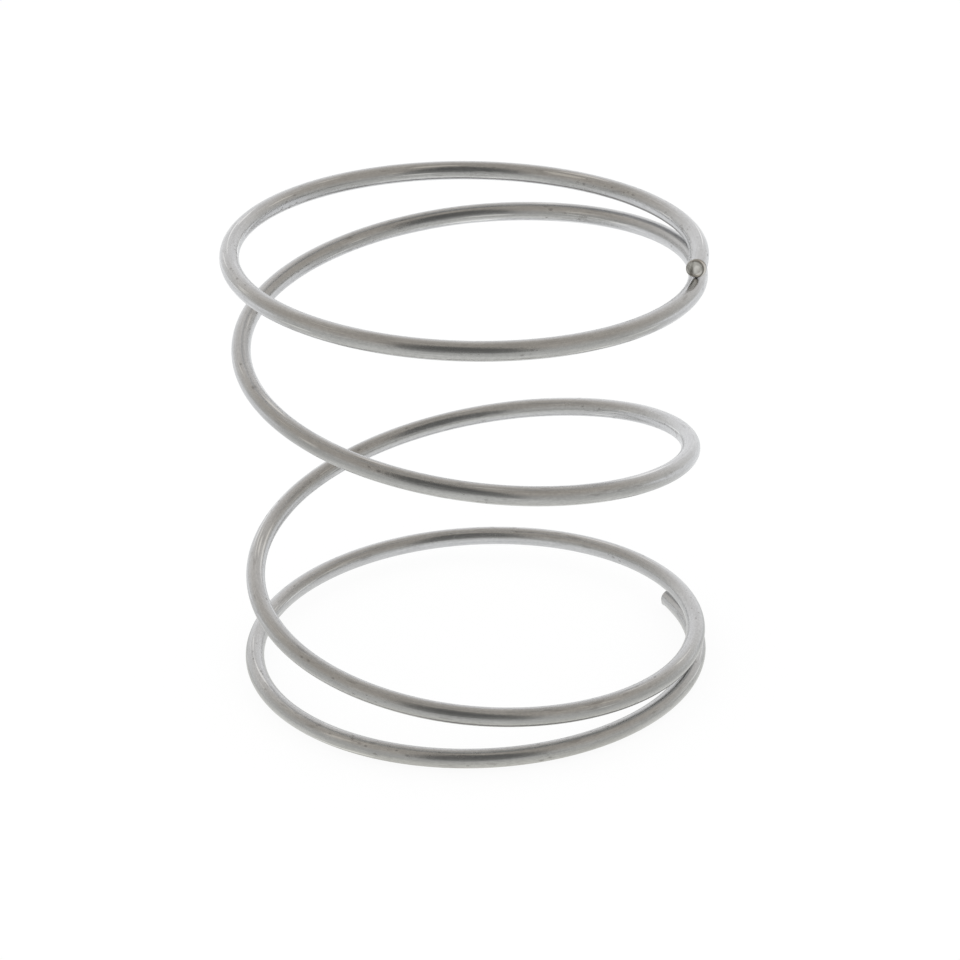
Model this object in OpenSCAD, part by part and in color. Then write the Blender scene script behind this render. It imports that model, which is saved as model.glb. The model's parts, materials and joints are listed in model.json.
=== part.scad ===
// Helical compression spring of one round wire, left-hand wound, with closed and unground ends.
// The coil axis is Z. The spring stands on its lower closed turn, and its lowest point is at Z = 0.
// The wire is followed from its upper tip down to its lower tip, and a place on it is given in turns.

/* [Wire] */
// Diameter of the round wire
wire_d = 1.8; // [1.2:0.1:2.4]
// Clear gap between each tip and the turn it lies against
tip_gap = 0.1; // [0.05:0.05:0.4]

/* [Coil] */
// Mean diameter of the upper closed turn
upper_coil_d = 43.3; // [36:0.1:52]
// Mean diameter of the lower closed turn
lower_coil_d = 43; // [36:0.1:52]
// How much smaller the mean diameter is where the pitch is widest
coil_waist = 1.4; // [0:0.1:3]
// Height of the free spring, over the wire
free_length = 44.1; // [36:0.1:60]
// Number of turns from tip to tip
total_turns = 4.11; // [3.6:0.01:6]
// Direction of the upper tip about the axis, in degrees from +X
upper_tip_at = -14; // [-180:1:180]

/* [Pitch] */
// Turns over which the pitch opens below the upper closed turn
upper_ramp = 0.21; // [0.1:0.01:0.4]
// Pitch at the foot of the upper ramp, against the widest pitch
upper_pitch_ratio = 0.65; // [0.4:0.01:1]
// Where the pitch is widest, from 0 at the top of the active turns to 1 at their foot
widest_at = 0.56; // [0.4:0.01:0.6]
// Pitch at the head of the lower ramp, against the widest pitch
lower_pitch_ratio = 0.74; // [0.4:0.01:1]
// Turns over which the pitch closes above the lower closed turn
lower_ramp = 0.38; // [0.1:0.01:0.5]

/* [End turns] */
// Tilt of the upper closed turn, in degrees
upper_tilt = 2.6; // [0:0.1:4]
// Angle from the upper tip to the low side of its turn, in degrees
upper_low_side = 34; // [0:1:360]
// Tilt of the lower closed turn, in degrees
lower_tilt = 0.8; // [0:0.1:2]
// Angle from the lower tip to the low side of its turn, in degrees
lower_low_side = 163; // [0:1:360]

/* [Surface] */
// Flat sides round the wire
wire_sides = 16; // [8:4:16]
// Rings of facets along the whole wire
wire_rings = 358; // [200:1:400]

/* [Hidden] */

STEEL = [0.55, 0.55, 0.54];
FULL_TURN = 360;
CLOSED_TURNS = 1;
TILT_FADE_TURNS = 1;
TANGENT_STEP = 0.001;

closed_pitch = wire_d + tip_gap;
active_turns = total_turns - 2 * CLOSED_TURNS;
// A polygon of this radius has the area of the round wire
corner_r = wire_d / 2 * sqrt(PI / (wire_sides / 2 * sin(FULL_TURN / wire_sides)));

// Turns at which the slope of the pitch changes
opens_at = CLOSED_TURNS;
opened_at = opens_at + upper_ramp;
widest_turn = opens_at + widest_at * active_turns;
closed_at = total_turns - CLOSED_TURNS;
closes_at = closed_at - lower_ramp;

// Height that the tilt of each end turn adds above the upper tip and below the lower tip
upper_rise = max([for (turn = along(0, CLOSED_TURNS)) upper_lift(turn) - closed_pitch * turn]);
lower_dip = max([for (turn = along(closed_at, total_turns))
    -lower_lift(turn) - closed_pitch * (total_turns - turn)]);

// Fall of the wire from tip to tip, and the share of it that the active turns take
wire_fall = free_length - wire_d - upper_rise - lower_dip;
active_fall = wire_fall - 2 * CLOSED_TURNS * closed_pitch;
widest_pitch = (active_fall - closed_pitch * (upper_ramp + lower_ramp) / 2)
    / (upper_pitch_ratio * (widest_turn - opens_at) / 2
    + (widest_turn - opened_at) / 2
    + (closes_at - widest_turn) / 2
    + lower_pitch_ratio * (closed_at - widest_turn) / 2);

// Pitch against turns, with straight ramps between these points
PITCH = [
    [0, closed_pitch],
    [opens_at, closed_pitch],
    [opened_at, upper_pitch_ratio * widest_pitch],
    [widest_turn, widest_pitch],
    [closes_at, lower_pitch_ratio * widest_pitch],
    [closed_at, closed_pitch],
    [total_turns, closed_pitch],
];

function along(from, to) = [for (i = [0 : wire_rings]) from + (to - from) * i / wire_rings];
function total(list) = list * [for (item = list) 1];
function unit(v) = v / norm(v);
function smooth_step(x) = let (s = min(max(x, 0), 1)) s * s * (3 - 2 * s);

function azimuth(turn) = upper_tip_at + FULL_TURN * turn;
function pitch(turn) = lookup(turn, PITCH);

// Area under the pitch between one point of the table and the next, as far as the turn
function fall_in_step(i, turn) =
    let (start = PITCH[i][0], end = min(max(turn, start), PITCH[i + 1][0]))
    (pitch(start) + pitch(end)) / 2 * (end - start);
function fall(turn) = total([for (i = [0 : len(PITCH) - 2]) fall_in_step(i, turn)]);

// The end turns differ in diameter, and the coil is drawn in as the pitch opens
function end_r(turn) = (upper_coil_d + (lower_coil_d - upper_coil_d) * turn / total_turns) / 2;
function openness(turn) = (pitch(turn) - closed_pitch) / (widest_pitch - closed_pitch);
function coil_r(turn) = end_r(turn) - coil_waist / 2 * openness(turn);

// Each end turn leans as a plane, and the lean dies out over the next turn
function lift(turn, tilt, low_side, turns_from_tip) =
    -end_r(turn) * tan(tilt) * cos(azimuth(turn) - low_side)
    * (1 - smooth_step((turns_from_tip - CLOSED_TURNS) / TILT_FADE_TURNS));
function upper_lift(turn) = lift(turn, upper_tilt, azimuth(0) + upper_low_side, turn);
function lower_lift(turn) =
    lift(turn, lower_tilt, azimuth(total_turns) + lower_low_side, total_turns - turn);

// Centre of the wire
function centre(turn) = [
    coil_r(turn) * cos(azimuth(turn)),
    coil_r(turn) * sin(azimuth(turn)),
    wire_d / 2 + lower_dip + wire_fall - fall(turn) + upper_lift(turn) + lower_lift(turn),
];

// One ring of corners round the wire, square to its run, the first one on the outside of the coil
function ring(turn) =
    let (
        middle = centre(turn),
        run = unit(centre(turn + TANGENT_STEP) - centre(turn - TANGENT_STEP)),
        outward = [cos(azimuth(turn)), sin(azimuth(turn)), 0],
        side = unit(outward - (outward * run) * run),
        up = cross(side, run)
    )
    [for (i = [0 : wire_sides - 1]) let (a = FULL_TURN * i / wire_sides)
        middle + corner_r * (cos(a) * side + sin(a) * up)];

module spring_wire() {
    corners = [for (turn = along(0, total_turns)) each ring(turn)];
    last = wire_rings * wire_sides;
    tip_faces = [
        [for (i = [0 : wire_sides - 1]) i],
        [for (i = [wire_sides - 1 : -1 : 0]) last + i],
    ];
    side_faces = [for (r = [0 : wire_rings - 1], i = [0 : wire_sides - 1])
        let (
            a = r * wire_sides + i,
            b = r * wire_sides + (i + 1) % wire_sides
        )
        each [[a, a + wire_sides, b], [b, a + wire_sides, b + wire_sides]]];
    color(STEEL)
    polyhedron(points = corners, faces = concat(tip_faces, side_faces));
}

spring_wire();
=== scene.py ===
"""Valve spring: one coil of drawn steel wire with sheared ends, standing on its lower closed turn."""
import json
import math
from collections import namedtuple

import bpy
import numpy as np
from mathutils import Matrix, Vector


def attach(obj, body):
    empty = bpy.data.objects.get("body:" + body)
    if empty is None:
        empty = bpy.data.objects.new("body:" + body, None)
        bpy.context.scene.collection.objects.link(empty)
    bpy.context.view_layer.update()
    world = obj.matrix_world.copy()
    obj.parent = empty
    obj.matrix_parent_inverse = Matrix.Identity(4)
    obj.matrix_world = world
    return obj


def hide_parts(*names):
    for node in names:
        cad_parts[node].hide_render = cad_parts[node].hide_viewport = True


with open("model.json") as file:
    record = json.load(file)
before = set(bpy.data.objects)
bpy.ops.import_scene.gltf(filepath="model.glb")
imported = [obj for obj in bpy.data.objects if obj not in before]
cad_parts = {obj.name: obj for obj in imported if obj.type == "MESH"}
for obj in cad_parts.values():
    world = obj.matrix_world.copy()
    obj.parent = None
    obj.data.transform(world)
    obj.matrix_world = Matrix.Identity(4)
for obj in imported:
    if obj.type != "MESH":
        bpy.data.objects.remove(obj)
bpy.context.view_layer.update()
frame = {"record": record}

MM = 0.001
FULL_TURN = 2 * math.pi
WHITE = (1, 1, 1)
BLACK = (0, 0, 0)

# The coil, with the sizes of the construction model. A place on the wire is given in turns below its upper
# tip, and a direction as an angle about the axis.
WIRE_D = 1.8 * MM
WIRE_R = WIRE_D / 2
TIP_GAP = 0.1 * MM
UPPER_COIL_D = 43.3 * MM
LOWER_COIL_D = 43 * MM
COIL_WAIST = 1.4 * MM
TOTAL_TURNS = 4.11
UPPER_TIP_AT = math.radians(-14)
CLOSED_TURNS = 1
UPPER_RAMP = 0.21
UPPER_PITCH_RATIO = 0.65
WIDEST_AT = 0.56
LOWER_PITCH_RATIO = 0.74
LOWER_RAMP = 0.38
UPPER_TILT = math.radians(2.6)
UPPER_LOW_SIDE = math.radians(34)
LOWER_TILT = math.radians(0.8)
LOWER_LOW_SIDE = math.radians(163)
TILT_FADE_TURNS = 1
FREE_LENGTH = next(m["pos_m"][2] for m in frame["record"]["mounts"] if m["name"] == "seat_top")

# How the shear bent the last of the wire at each tip
TIP_BEND_TURNS = 0.022
UPPER_TIP_DOWN = 0.07 * MM
UPPER_TIP_OUT = 0.05 * MM
LOWER_TIP_UP = 0.085 * MM

# Where the wire lies a little higher than an even coil, just below the upper closed turn, in turns
HIGH_SPOT_AT = 1.285
HIGH_SPOT_HALF = 0.13
HIGH_SPOT_UP = 0.1 * MM

# How finely the wire is drawn. The rings of corners on a cut face are in shares of its radius.
WIRE_SIDES = 48
STEPS_PER_TURN = 300
TANGENT_STEP = 0.001
CUT_RINGS = (0.997, 0.985, 0.965, 0.94, 0.905, 0.86, 0.8, 0.73, 0.65, 0.57, 0.48, 0.39, 0.3, 0.2, 0.1)
SHARP_ANGLE = math.radians(40)

# How the shear left the two cut faces. Each has a rim that is narrower than the wire and lies nearer its
# burr, and past the rim the edge is rolled over. Inside the rim, a slant, lightened by a painted highlight,
# falls away towards the burr and ends at a step up, darkened by painted shade, where the steel broke.
# Places on a face are in shares of its radius, first towards the burr and then round from it.

# The round along the outline, and the power by which the lean and the torn metal die out towards it
CUT_EDGE = 0.06 * MM
CUT_FADE_POWER = 8

# The rim is an ellipse with this middle and these half sizes. Reach is 0 at its middle and 1 on the rim. The
# step down there has this share of the roll-over's depth, and runs between these two reaches. Past the rim
# the roll-over is whole at this much more reach, and deepens towards it by this power.
CUT_RIM_AT = (0.12, 0)
CUT_RIM_SIZE = (0.88, 0.95)
CUT_RIM_STEP = 0.25
CUT_RIM_STEP_FROM = 0.97
CUT_RIM_STEP_TO = 1.04
CUT_ROLL_REACH = 0.27
CUT_ROLL_POWER = 1.5

# The slant has this depth at the break, begins at this place, and dies out between these two reaches. The
# break is a line across the face, which leans by this much of a radius for each radius round from the burr.
# The step up there is twice this half wide.
CUT_SLANT = 0.3 * MM
CUT_SLANT_FROM = -0.75
CUT_SLANT_WHOLE_TO = 0.74
CUT_SLANT_FADED_AT = 0.96
CUT_BREAK_AT = 0.56
CUT_BREAK_LEAN = 0.18
CUT_BREAK_HALF = 0.08

# How much a leaning face is hollowed
CUT_HOLLOW = 0.25

# The burr rises outside this share of the radius. Round from its middle it is whole, and then dies out, at
# these shares of its half width.
CUT_BURR_FROM = 0.82
CUT_BURR_FLARE = 0.06
CUT_BURR_WHOLE_TO = 0.3
CUT_BURR_FADED_AT = 1.3

# Torn metal has its full height where the steel broke, and a share of it elsewhere. Each of its waves has
# the radians that it runs through over one radius, towards the burr and round from it, and its own height.
CUT_TEAR = 0.01 * MM
CUT_SMOOTH_TEAR = 0.1
TEAR_WAVES = ((36, 16, 0.5), (-24, 44, 0.35), (60, -32, 0.25), (84, 68, 0.15))

# The bright patch, a painted highlight on smoother steel, is an ellipse with this middle and these half
# sizes
CUT_PAINTED_HIGHLIGHT_AT = (-0.08, 0.3)
CUT_PAINTED_HIGHLIGHT_SIZE = (0.48, 0.66)

Cut = namedtuple("Cut", "burr_at burr burr_half lean roll_over set_back seed")
UPPER_CUT = Cut(
    burr_at=math.radians(185),
    burr=0.1 * MM,
    burr_half=math.radians(50),
    lean=0.15 * MM,
    roll_over=0.2 * MM,
    set_back=0,
    seed=1.3,
)
LOWER_CUT = Cut(
    burr_at=math.radians(-125),
    burr=0.2 * MM,
    burr_half=math.radians(30),
    lean=0.08 * MM,
    roll_over=0.03 * MM,
    set_back=0.16 * MM,
    seed=4.1,
)

# What a mark does to bare steel: its colour, the share of it that shows, and what it adds to the roughness
# and to the height of the surface
Mark = namedtuple("Mark", "colour share rough height", defaults=(0, 0))

# The drawn steel of the wire
DRAWN_DULL = (0.56, 0.562, 0.565)
DRAWN_PALE = (0.645, 0.648, 0.652)
DRAWN_ROUGH = 0.18
DRAWN_RELIEF = 0.006 * MM
BROAD_LINES_HEIGHT = 0.5
FINE_LINES = Mark((0.42, 0.42, 0.42), 0.35, rough=0.05, height=0.35)
GRAIN = Mark((0.46, 0.46, 0.465), 0.6, height=0.15)
CLOUDS = Mark((0.72, 0.722, 0.725), 0.25, rough=0.05)
RUBBED_LINES = Mark((0.9, 0.9, 0.89), 0.75)
SCORES = Mark((0.27, 0.26, 0.255), 0.35, height=-0.5)
PITS = Mark((0.22, 0.21, 0.205), 0.6, rough=0.2, height=-0.6)

# The sheared steel of the cut faces
SHEARED_DULL = (0.66, 0.655, 0.63)
SHEARED_PALE = (0.78, 0.775, 0.75)
SHEARED_ROUGH = 0.36
SHEARED_CLOUD_ROUGH = 0.08
SHEARED_RELIEF = 0.005 * MM
SHEAR_MARKS = {
    # The bright patch: smoother steel, painted near white as a highlight
    "Bright": Mark((0.97, 0.965, 0.94), 1, rough=-0.06),
    # The rolled edge past the rim, painted near white as a highlight
    "RolledHighlight": Mark((0.9, 0.875, 0.85), 1),
    "Edge": Mark((0.3, 0.29, 0.27), 0.8),
    # Painted shade along the step where the steel broke
    "BreakShade": Mark((0.2, 0.19, 0.17), 0.72),
    "Rim": Mark((0.25, 0.235, 0.21), 0.78),
}

# The photograph's view
CAMERA_DISTANCE = 322 * MM
CAMERA_ELEVATION = math.radians(25.55)
CAMERA_ROLL = math.radians(-1.69)
CAMERA_PAN = math.radians(-0.1685)
CAMERA_TILT = math.radians(0.4608)
CAMERA_LENS = 127.2
CAMERA_SENSOR = 36
CAMERA_NEAR = 10 * MM
CAMERA_FAR = 10000 * MM

# The white room all round, which lights the floor and is the background
ROOM_LIGHT = 1.0

# The floor as the camera sees it: a little grey paint that takes the shadow, lifted to white
FLOOR_HALF = 1500 * MM
FLOOR_SEEN_ALBEDO = 0.1
FLOOR_SEEN_LIFT = 0.91

# The floor as the steel reflects it: darker at a low angle, a painted reflection of the opening in its
# sheen, and full white behind the object, painted light
FLOOR_LIGHT = 0.86
FLOOR_SHEEN_LOSS = 0.33
FLOOR_SHEEN_BLEND = 0.5
FLOOR_BEHIND_FROM = -30 * MM
FLOOR_BEHIND_TO = 60 * MM
FLOOR_COOL_FROM = -12 * MM
FLOOR_COOL_TO = 30 * MM
FLOOR_FRONT_TINT = (1.0, 0.999, 0.962)
FLOOR_BEHIND_TINT = (0.98, 0.988, 1.0)

# It is brighter inside the coil, a painted pool of light, and changed in a ring where the wire rests: dimmer
# and warmer at the very front, a painted contact shadow, and brighter at the sides, painted light
FLOOR_UNDER_R = 12 * MM
FLOOR_UNDER_TO_R = 28 * MM
FLOOR_UNDER_LIGHT = 1.1
FLOOR_CONTACT_R = 22 * MM
FLOOR_CONTACT_HALF = 8 * MM
FLOOR_CONTACT_LIGHT = 0.93
FLOOR_CONTACT_TINT = (1.0, 0.99, 0.925)
FLOOR_BESIDE_LIGHT = 1.14
FLOOR_BESIDE_FROM = -21 * MM
FLOOR_BESIDE_TO = -13 * MM

# The tent over the floor, whose light changes with its height and towards its back. Heights are in shares of
# its radius.
TENT_R = 800 * MM
TENT_ROWS = 24
TENT_COLUMNS = 48
TENT_LOW_LIGHT = 0.6
TENT_TOP_LIGHT = 0.46
TENT_BACK_LIGHT = 0.48
TENT_LOW_TINT = (1.0, 0.985, 0.94)
TENT_TOP_TINT = (1.0, 0.935, 0.845)
TENT_BACK_TINT = (0.98, 0.982, 0.997)
TENT_TOP_TINT_FROM = 0.1
TENT_TOP_TINT_TO = 0.7

# The opening on the camera's side of the tent. A higher squareness makes its corners squarer.
OPENING_R = 750 * MM
OPENING_ROWS = 24
OPENING_COLUMNS = 12
OPENING_MIDDLE = math.radians(31)
OPENING_HALF_HEIGHT = math.radians(36)
OPENING_HALF_WIDTH = math.radians(31)
OPENING_SQUARENESS = 4
OPENING_TINT = (1.0, 1.0, 0.965)
OPENING_LOW_LIGHT = 0.28
OPENING_TOP_LIGHT = 0.145
OPENING_TOP_LIGHT_FROM = 0.6


def rise(x, start, stop):
    """Goes smoothly from 0 at start to 1 at stop."""
    s = np.clip((x - start) / (stop - start), 0, 1)
    return s * s * (3 - 2 * s)


class Coil:
    """The centre line of the wire, by turns below its upper tip."""

    def __init__(self):
        self.closed_pitch = WIRE_D + TIP_GAP
        opens_at = CLOSED_TURNS
        closed_at = TOTAL_TURNS - CLOSED_TURNS
        opened_at = opens_at + UPPER_RAMP
        closes_at = closed_at - LOWER_RAMP
        widest_turn = opens_at + WIDEST_AT * (closed_at - opens_at)
        first = np.linspace(0, opens_at, STEPS_PER_TURN)
        last = np.linspace(closed_at, TOTAL_TURNS, STEPS_PER_TURN)
        upper_rise = (self.upper_lift(first) - self.closed_pitch * first).max()
        self.lower_dip = (-self.lower_lift(last) - self.closed_pitch * (TOTAL_TURNS - last)).max()
        self.wire_fall = FREE_LENGTH - WIRE_D - upper_rise - self.lower_dip
        active_fall = self.wire_fall - 2 * CLOSED_TURNS * self.closed_pitch
        self.widest_pitch = (active_fall - self.closed_pitch * (UPPER_RAMP + LOWER_RAMP) / 2) / (
            UPPER_PITCH_RATIO * (widest_turn - opens_at) / 2
            + (widest_turn - opened_at) / 2
            + (closes_at - widest_turn) / 2
            + LOWER_PITCH_RATIO * (closed_at - widest_turn) / 2
        )
        self.places = np.array([0, opens_at, opened_at, widest_turn, closes_at, closed_at, TOTAL_TURNS])
        self.pitches = np.array([
            self.closed_pitch,
            self.closed_pitch,
            UPPER_PITCH_RATIO * self.widest_pitch,
            self.widest_pitch,
            LOWER_PITCH_RATIO * self.widest_pitch,
            self.closed_pitch,
            self.closed_pitch,
        ])

    def azimuth(self, turn):
        return UPPER_TIP_AT + FULL_TURN * turn

    def pitch(self, turn):
        return np.interp(turn, self.places, self.pitches)

    def fall(self, turn):
        """The area under the pitch, as far as each turn."""
        fallen = np.zeros_like(turn)
        for start, stop in zip(self.places[:-1], self.places[1:]):
            end = np.clip(turn, start, stop)
            fallen += (self.pitch(start) + self.pitch(end)) / 2 * (end - start)
        return fallen

    def end_r(self, turn):
        return (UPPER_COIL_D + (LOWER_COIL_D - UPPER_COIL_D) * turn / TOTAL_TURNS) / 2

    def coil_r(self, turn):
        openness = (self.pitch(turn) - self.closed_pitch) / (self.widest_pitch - self.closed_pitch)
        return self.end_r(turn) - COIL_WAIST / 2 * openness

    def lift(self, turn, tilt, low_side, turns_from_tip):
        """Each end turn leans as a plane, and the lean dies out past it."""
        fade = 1 - rise(turns_from_tip, CLOSED_TURNS, CLOSED_TURNS + TILT_FADE_TURNS)
        return -self.end_r(turn) * math.tan(tilt) * np.cos(self.azimuth(turn) - low_side) * fade

    def upper_lift(self, turn):
        return self.lift(turn, UPPER_TILT, self.azimuth(0) + UPPER_LOW_SIDE, turn)

    def lower_lift(self, turn):
        low_side = self.azimuth(TOTAL_TURNS) + LOWER_LOW_SIDE
        return self.lift(turn, LOWER_TILT, low_side, TOTAL_TURNS - turn)

    def tip_bend(self, turns_from_tip):
        """How much of its bend the wire has at a distance from a tip, from 0 to 1."""
        return 1 - rise(turns_from_tip, 0, TIP_BEND_TURNS)

    def centre(self, turn):
        turn = np.asarray(turn, float)
        azimuth = self.azimuth(turn)
        upper_bend = self.tip_bend(turn)
        lower_bend = self.tip_bend(TOTAL_TURNS - turn)
        radius = self.coil_r(turn) + UPPER_TIP_OUT * upper_bend
        height = WIRE_R + self.lower_dip + self.wire_fall - self.fall(turn)
        height += self.upper_lift(turn) - UPPER_TIP_DOWN * upper_bend
        height += self.lower_lift(turn) + LOWER_TIP_UP * lower_bend
        height += HIGH_SPOT_UP * (1 - rise(np.abs(turn - HIGH_SPOT_AT), 0, HIGH_SPOT_HALF))
        return np.stack([radius * np.cos(azimuth), radius * np.sin(azimuth), height], -1)

    def section(self, turn):
        """The run of the wire at each turn, and the outward and upward directions across it."""
        azimuth = self.azimuth(turn)
        run = self.centre(turn + TANGENT_STEP) - self.centre(turn - TANGENT_STEP)
        run /= np.linalg.norm(run, axis=-1, keepdims=True)
        outward = np.stack([np.cos(azimuth), np.sin(azimuth), np.zeros_like(turn)], -1)
        side = outward - (outward * run).sum(-1, keepdims=True) * run
        side /= np.linalg.norm(side, axis=-1, keepdims=True)
        return run, side, np.cross(side, run)


def tear(x, y, seed):
    """Small ridges of torn metal, from a few crossed waves."""
    ridges = 0
    for count, (towards_burr, round_from_burr, height) in enumerate(TEAR_WAVES, 1):
        ridges = ridges + height * np.sin(towards_burr * x + round_from_burr * y + seed * count)
    return ridges


def on_burr(share, angle, cut):
    """How much of the burr's height a place on a cut face has, from 0 to 1."""
    off_burr = np.abs(np.remainder(angle - cut.burr_at + math.pi, FULL_TURN) - math.pi)
    beside = rise(off_burr / cut.burr_half, CUT_BURR_WHOLE_TO, CUT_BURR_FADED_AT)
    return rise(share, CUT_BURR_FROM, 1) * (1 - beside)


def cut_relief(share, angle, cut):
    """How far the sheared face stands out along the wire, at a share of the radius and an angle round it."""
    x = share * np.cos(angle - cut.burr_at)
    y = share * np.sin(angle - cut.burr_at)
    edge = CUT_EDGE / WIRE_R
    into_edge = np.clip((share - 1 + edge) / edge, 0, 1)
    inside = 1 - share ** CUT_FADE_POWER

    rim_reach = np.hypot((x - CUT_RIM_AT[0]) / CUT_RIM_SIZE[0], (y - CUT_RIM_AT[1]) / CUT_RIM_SIZE[1])
    rolled = CUT_RIM_STEP * rise(rim_reach, CUT_RIM_STEP_FROM, CUT_RIM_STEP_TO)
    rolled += (np.clip(rim_reach - 1, 0, 1) / CUT_ROLL_REACH) ** CUT_ROLL_POWER

    break_at = CUT_BREAK_AT + CUT_BREAK_LEAN * y
    broken = rise(x, break_at - CUT_BREAK_HALF, break_at + CUT_BREAK_HALF)
    slant = np.clip((x - CUT_SLANT_FROM) / (break_at - CUT_SLANT_FROM), 0, 1) * (1 - broken)
    slant *= 1 - rise(rim_reach, CUT_SLANT_WHOLE_TO, CUT_SLANT_FADED_AT)
    torn = CUT_SMOOTH_TEAR + (1 - CUT_SMOOTH_TEAR) * broken
    return (
        cut.burr * on_burr(share, angle, cut)
        - cut.set_back
        - cut.lean * (y - CUT_HOLLOW * y * y) * inside
        - CUT_EDGE * (1 - np.sqrt(1 - into_edge ** 2))
        - cut.roll_over * rolled
        - CUT_SLANT * slant
        + CUT_TEAR * torn * inside * tear(x, y, cut.seed)
    )


def wire_rings(coil):
    """Every ring of corners along the wire, from the middle of its upper cut face to that of its lower one.
    Each corner has its place, its place on the straightened wire in millimetres, and its place on a cut."""
    steps = int(TOTAL_TURNS * STEPS_PER_TURN)
    turns = np.linspace(0, TOTAL_TURNS, steps + 1)
    angles = FULL_TURN * np.arange(WIRE_SIDES) / WIRE_SIDES
    middle = coil.centre(turns)
    run, side, up = coil.section(turns)
    length = np.concatenate([[0], np.cumsum(np.linalg.norm(np.diff(middle, axis=0), axis=1))])

    def corners_at(k, share, radius, ahead, turned):
        x, y = radius * np.cos(angles), radius * np.sin(angles)
        place = middle[k] + x[:, None] * side[k] + y[:, None] * up[k] + ahead[:, None] * run[k]
        straight = np.stack([length[k] + ahead, x, y], -1) / MM
        on_cut = np.stack([share * np.cos(turned), share * np.sin(turned), np.full(WIRE_SIDES, share)], -1)
        return np.concatenate([place, straight, on_cut], -1)

    def ring(k):
        return corners_at(k, 1, np.full(WIRE_SIDES, WIRE_R), np.zeros(WIRE_SIDES), angles)

    def cut_ring(k, share, cut, facing):
        radius = (share + CUT_BURR_FLARE * on_burr(share, angles, cut)) * WIRE_R
        return corners_at(k, share, radius, facing * cut_relief(share, angles, cut), angles - cut.burr_at)

    rings = [cut_ring(0, share, UPPER_CUT, -1) for share in (*CUT_RINGS[::-1], 1)]
    rings += [ring(k) for k in range(1, steps)]
    rings += [cut_ring(steps, share, LOWER_CUT, 1) for share in (1, *CUT_RINGS)]
    return rings


def build_wire(coil):
    """Sweeps the round wire along the coil and closes it with two sheared faces."""
    rings = wire_rings(coil)
    corners = np.concatenate(rings + [rings[0].mean(0, keepdims=True), rings[-1].mean(0, keepdims=True)])
    faces = []
    for r in range(len(rings) - 1):
        for i in range(WIRE_SIDES):
            a = r * WIRE_SIDES + i
            b = r * WIRE_SIDES + (i + 1) % WIRE_SIDES
            faces.append((a, a + WIRE_SIDES, b + WIRE_SIDES, b))
    upper_middle = len(rings) * WIRE_SIDES
    lower_middle = upper_middle + 1
    last = upper_middle - WIRE_SIDES
    for i in range(WIRE_SIDES):
        j = (i + 1) % WIRE_SIDES
        faces.append((i, j, upper_middle))
        faces.append((last + j, last + i, lower_middle))

    mesh = bpy.data.meshes.new("wire_coil")
    mesh.from_pydata(corners[:, :3].tolist(), [], faces)
    for label, columns in (("place_on_wire", slice(3, 6)), ("place_on_cut", slice(6, 9))):
        attribute = mesh.attributes.new(label, "FLOAT_VECTOR", "POINT")
        attribute.data.foreach_set("vector", corners[:, columns].astype(np.float32).ravel())
    cut_rings = len(CUT_RINGS)
    on_cut = np.zeros(len(faces), np.int32)
    on_cut[:cut_rings * WIRE_SIDES] = 1
    on_cut[(len(rings) - 1 - cut_rings) * WIRE_SIDES:] = 1
    mesh.polygons.foreach_set("material_index", on_cut)
    mesh.shade_smooth()
    mesh.set_sharp_from_angle(angle=SHARP_ANGLE)
    mesh.update()
    wire = bpy.data.objects.new("wire_coil", mesh)
    bpy.context.collection.objects.link(wire)
    return wire


def new_group(name, inputs, outputs):
    """A shader node group with named sockets, and its input and output nodes."""
    group = bpy.data.node_groups.new(name, "ShaderNodeTree")
    for label, kind in inputs.items():
        group.interface.new_socket(label, in_out="INPUT", socket_type=kind)
    for label, kind in outputs.items():
        group.interface.new_socket(label, in_out="OUTPUT", socket_type=kind)
    return group, group.nodes.new("NodeGroupInput"), group.nodes.new("NodeGroupOutput")


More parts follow.
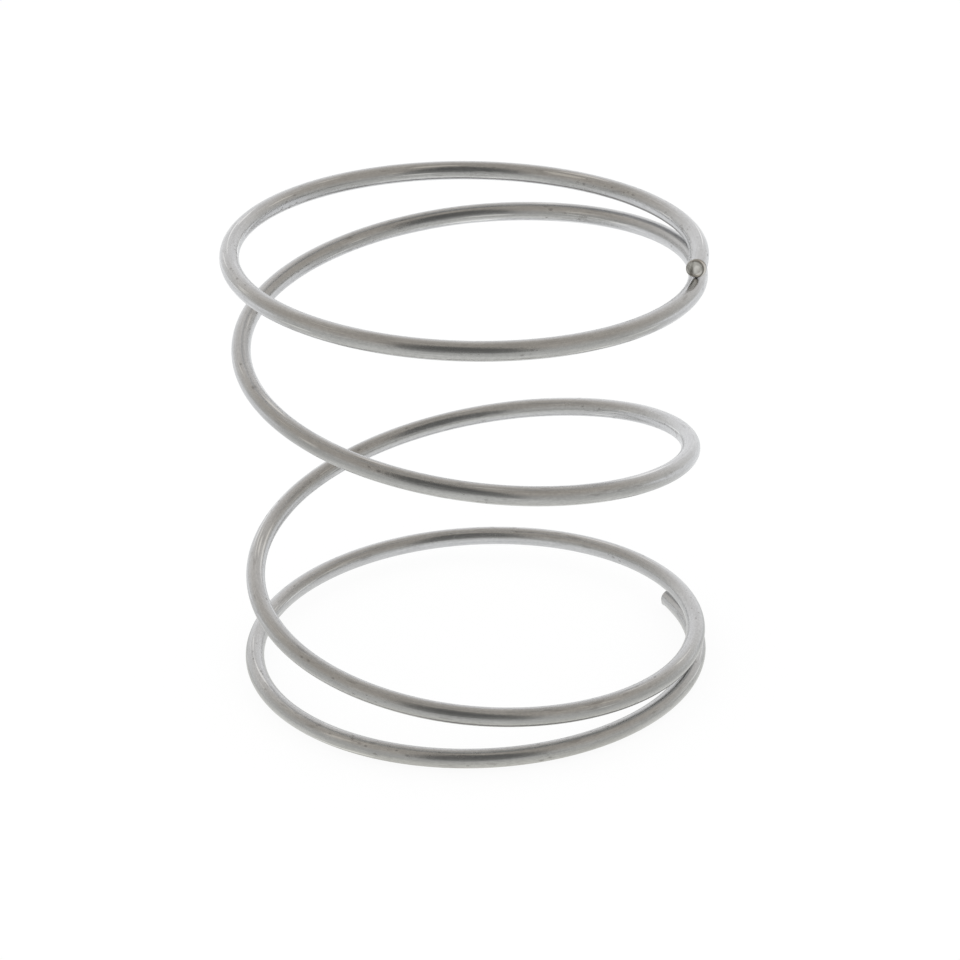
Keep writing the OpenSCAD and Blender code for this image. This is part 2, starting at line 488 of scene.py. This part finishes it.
class Nodes:
    """Adds nodes to a tree and joins them, one call for each node."""

    def __init__(self, tree):
        self.tree = tree

    def add(self, kind, values=None, **settings):
        node = self.tree.nodes.new(kind)
        for key, value in settings.items():
            setattr(node, key, value)
        for key, value in (values or {}).items():
            self.feed(node.inputs[key], value)
        return node

    def feed(self, socket, value):
        """Joins a socket to another one, or sets its number, vector or opaque colour."""
        if isinstance(value, bpy.types.NodeSocket):
            self.tree.links.new(value, socket)
        elif socket.type == "RGBA":
            socket.default_value = (*value, 1)
        else:
            socket.default_value = value

    def math(self, operation, first, second=0.0, third=0.0):
        return self.add("ShaderNodeMath", {0: first, 1: second, 2: third}, operation=operation).outputs[0]

    def vector(self, operation, first, second):
        return self.add("ShaderNodeVectorMath", {0: first, 1: second}, operation=operation).outputs[0]

    def length(self, vector):
        return self.add("ShaderNodeVectorMath", {0: vector}, operation="LENGTH").outputs["Value"]

    def stretch(self, place, along, across):
        """The place on the wire, counted in cells of these lengths along and across it, in millimetres."""
        return self.vector("MULTIPLY", place, (1 / along, 1 / across, 1 / across))

    def noise(self, place, along, across, detail=2.0, roughness=0.5):
        """Noise in cells of these lengths along and across the wire, in millimetres."""
        cells = self.stretch(place, along, across)
        values = {"Vector": cells, "Scale": 1.0, "Detail": detail, "Roughness": roughness}
        return self.add("ShaderNodeTexNoise", values).outputs["Fac"]

    def ramp(self, value, low, high, to_low=0.0, to_high=1.0):
        """Goes smoothly from to_low, where the value is low, to to_high, where it is high."""
        values = {"Value": value, 1: low, 2: high, 3: to_low, 4: to_high}
        return self.add("ShaderNodeMapRange", values, interpolation_type="SMOOTHSTEP").outputs[0]

    def fade(self, value, low, high):
        """Goes smoothly from 1, where the value is low, to 0, where it is high."""
        return self.ramp(value, low, high, to_low=1.0, to_high=0.0)

    def blend(self, share, first, second):
        node = self.add("ShaderNodeMix", {0: share}, data_type="RGBA")
        self.feed(node.inputs["A"], first)
        self.feed(node.inputs["B"], second)
        return node.outputs["Result"]

    def mark(self, mask, mark, colour, rough, height):
        """Adds one mark to a steel's colour, roughness and height, where its mask is 1."""
        colour = self.blend(self.math("MULTIPLY", mask, mark.share), colour, mark.colour)
        if mark.rough:
            rough = self.math("MULTIPLY_ADD", mask, mark.rough, rough)
        if mark.height:
            height = self.math("MULTIPLY_ADD", mask, mark.height, height)
        return colour, rough, height

    def steel(self, colour, rough, height, relief):
        """Finishes a material as bare steel, with relief for the height of its marks."""
        bump = self.add("ShaderNodeBump", {"Strength": 1.0, "Distance": relief, "Height": height})
        steel = self.add("ShaderNodeBsdfPrincipled", {
            "Base Color": colour,
            "Metallic": 1.0,
            "Roughness": rough,
            "Normal": bump.outputs["Normal"],
        })
        self.add("ShaderNodeOutputMaterial", {"Surface": steel.outputs["BSDF"]})


def drawing_lines_group():
    """Fine lines that a drawing die leaves along the wire: narrow, broad, and a few bright rubbed ones."""
    group, given, result = new_group(
        "drawing_lines",
        {"Place": "NodeSocketVector"},
        {"Fine": "NodeSocketFloat", "Broad": "NodeSocketFloat", "Bright": "NodeSocketFloat"},
    )
    n = Nodes(group)
    place = given.outputs["Place"]
    fine = n.noise(place, along=5.0, across=0.09, detail=3, roughness=0.65)
    broad = n.noise(place, along=14.0, across=0.34, detail=2, roughness=0.5)
    rubbed = n.noise(place, along=8.0, across=0.22, detail=1, roughness=0.35)
    handled = n.noise(place, along=26.0, across=1.4, detail=0)
    rubbed = n.ramp(rubbed, low=0.62, high=0.7)
    handled = n.ramp(handled, low=0.42, high=0.54)
    n.feed(result.inputs["Fine"], n.ramp(fine, low=0.3, high=0.7))
    n.feed(result.inputs["Broad"], n.ramp(broad, low=0.3, high=0.7))
    n.feed(result.inputs["Bright"], n.math("MULTIPLY", rubbed, handled))
    return group


def pits_group():
    """Small dark pits and short scores, gathered in places along the wire."""
    group, given, result = new_group(
        "pits_and_scores",
        {"Place": "NodeSocketVector"},
        {"Pits": "NodeSocketFloat", "Scores": "NodeSocketFloat"},
    )
    n = Nodes(group)
    place = given.outputs["Place"]
    cells = n.stretch(place, along=0.8, across=0.42)
    cells = n.add("ShaderNodeTexVoronoi", {"Vector": cells, "Scale": 1.0}).outputs
    size = n.add("ShaderNodeSeparateColor", {0: cells["Color"]}).outputs[0]
    spots = n.fade(n.math("DIVIDE", cells["Distance"], size), low=0.02, high=0.5)
    crowd = n.ramp(n.noise(place, along=9.0, across=1.1, detail=1), low=0.53, high=0.64)
    marks = n.ramp(n.noise(place, along=1.6, across=0.34, detail=1, roughness=0.4), low=0.6, high=0.74)
    worn = n.ramp(n.noise(place, along=15.0, across=0.9, detail=1), low=0.48, high=0.62)
    n.feed(result.inputs["Pits"], n.math("MULTIPLY", spots, crowd))
    n.feed(result.inputs["Scores"], n.math("MULTIPLY", marks, worn))
    return group


def clouding_group():
    """Soft patches where the finish of the wire is duller or brighter, and its fine grain."""
    group, given, result = new_group(
        "clouding",
        {"Place": "NodeSocketVector"},
        {"Cloud": "NodeSocketFloat", "Grain": "NodeSocketFloat"},
    )
    n = Nodes(group)
    place = given.outputs["Place"]
    cloud = n.noise(place, along=4.0, across=0.9, detail=3, roughness=0.6)
    grain = n.noise(place, along=0.4, across=0.22, detail=2, roughness=0.6)
    n.feed(result.inputs["Cloud"], n.ramp(cloud, low=0.3, high=0.7))
    n.feed(result.inputs["Grain"], n.ramp(grain, low=0.3, high=0.7))
    return group


def new_material(name):
    material = bpy.data.materials.new(name)
    material.use_nodes = True
    material.node_tree.nodes.clear()
    return material, Nodes(material.node_tree)


def drawn_steel(drawing_lines, pits_and_scores, clouding):
    """Satin grey steel as it leaves the drawing die."""
    material, n = new_material("drawn_steel")
    place = n.add("ShaderNodeAttribute", attribute_name="place_on_wire").outputs["Vector"]
    lines = n.add("ShaderNodeGroup", {"Place": place}, node_tree=drawing_lines).outputs
    dents = n.add("ShaderNodeGroup", {"Place": place}, node_tree=pits_and_scores).outputs
    clouds = n.add("ShaderNodeGroup", {"Place": place}, node_tree=clouding).outputs
    marks = (
        (lines["Fine"], FINE_LINES),
        (clouds["Grain"], GRAIN),
        (clouds["Cloud"], CLOUDS),
        (lines["Bright"], RUBBED_LINES),
        (dents["Scores"], SCORES),
        (dents["Pits"], PITS),
    )
    colour = n.blend(lines["Broad"], DRAWN_DULL, DRAWN_PALE)
    rough = DRAWN_ROUGH
    height = n.math("MULTIPLY", lines["Broad"], BROAD_LINES_HEIGHT)
    for mask, mark in marks:
        colour, rough, height = n.mark(mask, mark, colour, rough, height)
    n.steel(colour, rough, height, DRAWN_RELIEF)
    return material


def shear_marks_group():
    """The marks of a cut face: the bright patch and the rolled edge past the rim, both painted highlights,
    the dark break, painted shade along the step, the dark rim, and the thin dark line round the whole face."""
    group, given, result = new_group(
        "shear_marks",
        {"Place": "NodeSocketVector"},
        {label: "NodeSocketFloat" for label in SHEAR_MARKS},
    )
    n = Nodes(group)
    at = n.add("ShaderNodeSeparateXYZ", {0: given.outputs["Place"]}).outputs
    flat = n.add("ShaderNodeCombineXYZ", {0: at["X"], 1: at["Y"]}).outputs[0]

    def reach(middle, size):
        """Distance from the middle of an ellipse, as a share of its size."""
        off = n.vector("SUBTRACT", flat, (*middle, 0))
        return n.length(n.vector("DIVIDE", off, (*size, 1)))

    rim_reach = reach(CUT_RIM_AT, CUT_RIM_SIZE)
    # The rolled edge past the rim, which carries a painted highlight
    rolled = n.ramp(rim_reach, low=1.0, high=1.1)
    rim = n.math("MULTIPLY", n.ramp(rim_reach, low=0.82, high=0.93), n.math("SUBTRACT", 1, rolled))
    break_at = n.math("MULTIPLY_ADD", at["Y"], CUT_BREAK_LEAN, CUT_BREAK_AT)
    off_break = n.math("ABSOLUTE", n.math("SUBTRACT", at["X"], break_at))
    along_break = n.ramp(at["Y"], low=-0.4, high=0.45, to_low=0.1, to_high=1)
    away_from_burr = n.ramp(at["X"], low=-0.6, high=0.7, to_low=1, to_high=0.35)
    # The bright patch, a painted highlight
    bright = n.fade(reach(CUT_PAINTED_HIGHLIGHT_AT, CUT_PAINTED_HIGHLIGHT_SIZE), low=0.7, high=1.1)
    # Painted shade along the step where the steel broke
    broken = n.math("MULTIPLY", n.fade(off_break, low=0.03, high=0.22), along_break)
    edge = n.math("MULTIPLY", n.ramp(at["Z"], low=0.92, high=0.99), away_from_burr)
    n.feed(result.inputs["Bright"], bright)
    n.feed(result.inputs["RolledHighlight"], rolled)
    n.feed(result.inputs["Edge"], edge)
    n.feed(result.inputs["BreakShade"], broken)
    n.feed(result.inputs["Rim"], n.math("MULTIPLY", rim, away_from_burr))
    return group


def sheared_steel(shear_marks, clouding):
    """The cut faces: bare bright steel, torn where it broke. Painted shade darkens the step there, and
    painted highlights lighten the bright patch and the rolled edge.
    """
    material, n = new_material("sheared_steel")
    place = n.add("ShaderNodeAttribute", attribute_name="place_on_wire").outputs["Vector"]
    on_cut = n.add("ShaderNodeAttribute", attribute_name="place_on_cut").outputs["Vector"]
    clouds = n.add("ShaderNodeGroup", {"Place": place}, node_tree=clouding).outputs
    masks = n.add("ShaderNodeGroup", {"Place": on_cut}, node_tree=shear_marks).outputs
    colour = n.blend(clouds["Grain"], SHEARED_DULL, SHEARED_PALE)
    rough = n.math("MULTIPLY_ADD", clouds["Cloud"], SHEARED_CLOUD_ROUGH, SHEARED_ROUGH)
    height = clouds["Grain"]
    for label, mark in SHEAR_MARKS.items():
        colour, rough, height = n.mark(masks[label], mark, colour, rough, height)
    n.steel(colour, rough, height, SHEARED_RELIEF)
    return material


def stage_sheet(name, places, faces, material):
    """A piece of the studio, made of the given corners and faces."""
    mesh = bpy.data.meshes.new(name)
    mesh.from_pydata(places, [], faces)
    mesh.materials.append(material)
    sheet = bpy.data.objects.new(name, mesh)
    bpy.context.collection.objects.link(sheet)
    return sheet


def seen_in_gloss_only(sheet):
    sheet.visible_camera = False
    sheet.visible_diffuse = False
    sheet.visible_shadow = False
    sheet.visible_transmission = False
    sheet.visible_volume_scatter = False


def floor_paint():
    """White floor with a slight painted sheen. The camera sees it lifted to white, with the shadow on it.
    The steel reflects it darker in front of the object, more so at a low angle, where a painted reflection
    of the opening stands in for the sheen, and a little changed where it lies near the wire, with a painted
    contact shadow and painted light."""
    material, n = new_material("floor_paint")
    path = n.add("ShaderNodeLightPath").outputs
    place = n.add("ShaderNodeNewGeometry").outputs["Position"]
    away = n.length(place)
    behind = n.add("ShaderNodeSeparateXYZ", {0: place}).outputs["Y"]

    # Painted reflection of the opening: the floor's light for the steel falls at a low angle
    low_angle = n.add("ShaderNodeLayerWeight", {"Blend": FLOOR_SHEEN_BLEND}).outputs["Facing"]
    gloss = n.math("MULTIPLY_ADD", low_angle, -FLOOR_SHEEN_LOSS, FLOOR_LIGHT)
    # Painted pool of light inside the coil, and painted light behind the object
    under = n.ramp(away, FLOOR_UNDER_R, FLOOR_UNDER_TO_R, FLOOR_UNDER_LIGHT, 1)
    gloss = n.math("MULTIPLY", gloss, under)
    gloss = n.ramp(n.ramp(behind, FLOOR_BEHIND_FROM, FLOOR_BEHIND_TO), 0, 1, gloss, 1)

    cool = n.ramp(behind, FLOOR_COOL_FROM, FLOOR_COOL_TO)
    # Painted contact shadow in front where the wire rests, and painted light at the sides
    off_contact = n.math("ABSOLUTE", n.math("SUBTRACT", away, FLOOR_CONTACT_R))
    contact = n.fade(off_contact, 0, FLOOR_CONTACT_HALF)
    beside = n.ramp(behind, FLOOR_BESIDE_FROM, FLOOR_BESIDE_TO)
    near_wire = n.ramp(cool, 0, 1, n.ramp(beside, 0, 1, FLOOR_CONTACT_LIGHT, FLOOR_BESIDE_LIGHT), 1)
    gloss = n.math("MULTIPLY", gloss, n.ramp(contact, 0, 1, 1, near_wire))

    in_front = n.math("MULTIPLY", contact, n.math("SUBTRACT", 1, beside))
    tint = n.blend(in_front, FLOOR_FRONT_TINT, FLOOR_CONTACT_TINT)
    tint = n.blend(cool, tint, FLOOR_BEHIND_TINT)
    colour = n.blend(path["Is Glossy Ray"], WHITE, tint)
    seen = n.math("MAXIMUM", path["Is Camera Ray"], path["Is Transmission Ray"])
    strength = n.math("MULTIPLY", seen, FLOOR_SEEN_LIFT)
    strength = n.math("MULTIPLY_ADD", path["Is Glossy Ray"], gloss, strength)
    lift = n.add("ShaderNodeEmission", {"Color": colour, "Strength": strength})
    grey = n.blend(path["Is Glossy Ray"], [FLOOR_SEEN_ALBEDO] * 3, BLACK)
    matt = n.add("ShaderNodeBsdfDiffuse", {"Color": grey})
    both = n.add("ShaderNodeAddShader", {0: matt.outputs[0], 1: lift.outputs[0]})
    n.add("ShaderNodeOutputMaterial", {"Surface": both.outputs[0]})
    return material


def tent_cloth():
    """White cloth, lit warm and low in front and overhead, and cooler and brighter behind the object."""
    material, n = new_material("tent_cloth")
    place = n.add("ShaderNodeNewGeometry").outputs["Position"]
    side = n.add("ShaderNodeSeparateXYZ", {0: place}).outputs
    height = n.math("DIVIDE", side["Z"], TENT_R)
    behind = n.math("MAXIMUM", n.math("DIVIDE", side["Y"], TENT_R), 0)
    behind = n.math("MULTIPLY", behind, behind)
    strength = n.math("MULTIPLY_ADD", height, TENT_TOP_LIGHT - TENT_LOW_LIGHT, TENT_LOW_LIGHT)
    strength = n.math("MULTIPLY_ADD", behind, TENT_BACK_LIGHT, strength)
    overhead = n.ramp(height, TENT_TOP_TINT_FROM, TENT_TOP_TINT_TO)
    colour = n.blend(overhead, TENT_LOW_TINT, TENT_TOP_TINT)
    colour = n.blend(behind, colour, TENT_BACK_TINT)
    light = n.add("ShaderNodeEmission", {"Color": colour, "Strength": strength})
    n.add("ShaderNodeOutputMaterial", {"Surface": light.outputs[0]})
    return material


def dark_opening():
    """The unlit room that shows through the tent's opening, a little lighter near the floor."""
    material, n = new_material("dark_opening")
    place = n.add("ShaderNodeNewGeometry").outputs["Position"]
    height = n.math("DIVIDE", n.add("ShaderNodeSeparateXYZ", {0: place}).outputs["Z"], OPENING_R)
    strength = n.ramp(height, 0, OPENING_TOP_LIGHT_FROM, OPENING_LOW_LIGHT, OPENING_TOP_LIGHT)
    light = n.add("ShaderNodeEmission", {"Color": OPENING_TINT, "Strength": strength})
    n.add("ShaderNodeOutputMaterial", {"Surface": light.outputs[0]})
    return material


def build_floor():
    h = FLOOR_HALF
    corners = [(-h, -h, 0), (h, -h, 0), (h, h, 0), (-h, h, 0)]
    stage_sheet("floor", corners, [(0, 1, 2, 3)], floor_paint())


def dome_sheet(name, radius, rows, columns, direction, material):
    """A sheet on a sphere round the object. direction gives the height and side angles at two shares."""
    corners, faces = [], []
    for r in range(rows + 1):
        for c in range(columns + 1):
            high, wide = direction(r / rows, c / columns)
            corners.append((
                radius * math.cos(high) * math.sin(wide),
                -radius * math.cos(high) * math.cos(wide),
                radius * math.sin(high),
            ))
    for r in range(rows):
        for c in range(columns):
            a = r * (columns + 1) + c
            faces.append((a, a + 1, a + columns + 2, a + columns + 1))
    seen_in_gloss_only(stage_sheet(name, corners, faces, material))


def tent_direction(up, round_share):
    return math.pi / 2 * up, FULL_TURN * (round_share - 0.5)


def opening_direction(up, across):
    """Rounded at its top and bottom."""
    height = 2 * up - 1
    width = (1 - height ** OPENING_SQUARENESS) ** (1 / OPENING_SQUARENESS)
    return OPENING_MIDDLE + OPENING_HALF_HEIGHT * height, OPENING_HALF_WIDTH * width * (2 * across - 1)


def build_room():
    """The white room all round, seen as the background."""
    world = bpy.data.worlds.new("white_room")
    world.use_nodes = True
    world.node_tree.nodes.clear()
    n = Nodes(world.node_tree)
    white = n.add("ShaderNodeBackground", {"Color": WHITE, "Strength": ROOM_LIGHT})
    n.add("ShaderNodeOutputWorld", {"Surface": white.outputs[0]})
    bpy.context.scene.world = world


def build_studio():
    """A white floor, a pale tent over it, and the tent's dark opening on the camera's side."""
    build_floor()
    dome_sheet("tent", TENT_R, TENT_ROWS, TENT_COLUMNS, tent_direction, tent_cloth())
    dome_sheet(
        "camera_opening", OPENING_R, OPENING_ROWS, OPENING_COLUMNS, opening_direction, dark_opening()
    )
    build_room()


def build_camera():
    """The photograph's camera: it looks at the middle of the spring, then rolls, pans and tilts a little."""
    away = Vector((0, -math.cos(CAMERA_ELEVATION), math.sin(CAMERA_ELEVATION)))
    right = Vector((1, 0, 0))
    up = away.cross(right)
    facing = Matrix((right, up, away)).transposed().to_4x4()
    turn = (
        Matrix.Rotation(CAMERA_ROLL, 4, "Z")
        @ Matrix.Rotation(CAMERA_PAN, 4, "Y")
        @ Matrix.Rotation(-CAMERA_TILT, 4, "X")
    )
    middle = Vector((0, 0, FREE_LENGTH / 2))
    camera = bpy.data.objects.new("camera", bpy.data.cameras.new("camera"))
    camera.data.sensor_width = CAMERA_SENSOR
    camera.data.lens = CAMERA_LENS
    camera.data.clip_start = CAMERA_NEAR
    camera.data.clip_end = CAMERA_FAR
    camera.matrix_world = Matrix.Translation(middle + away * CAMERA_DISTANCE) @ facing @ turn
    bpy.context.collection.objects.link(camera)
    bpy.context.scene.camera = camera


def build_spring():
    wire = build_wire(Coil())
    clouding = clouding_group()
    wire.data.materials.append(drawn_steel(drawing_lines_group(), pits_group(), clouding))
    wire.data.materials.append(sheared_steel(shear_marks_group(), clouding))
    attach(wire, "root")
    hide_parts("spring_wire")


build_camera()
build_studio()
build_spring()
bpy.context.scene.view_settings.view_transform = "Standard"
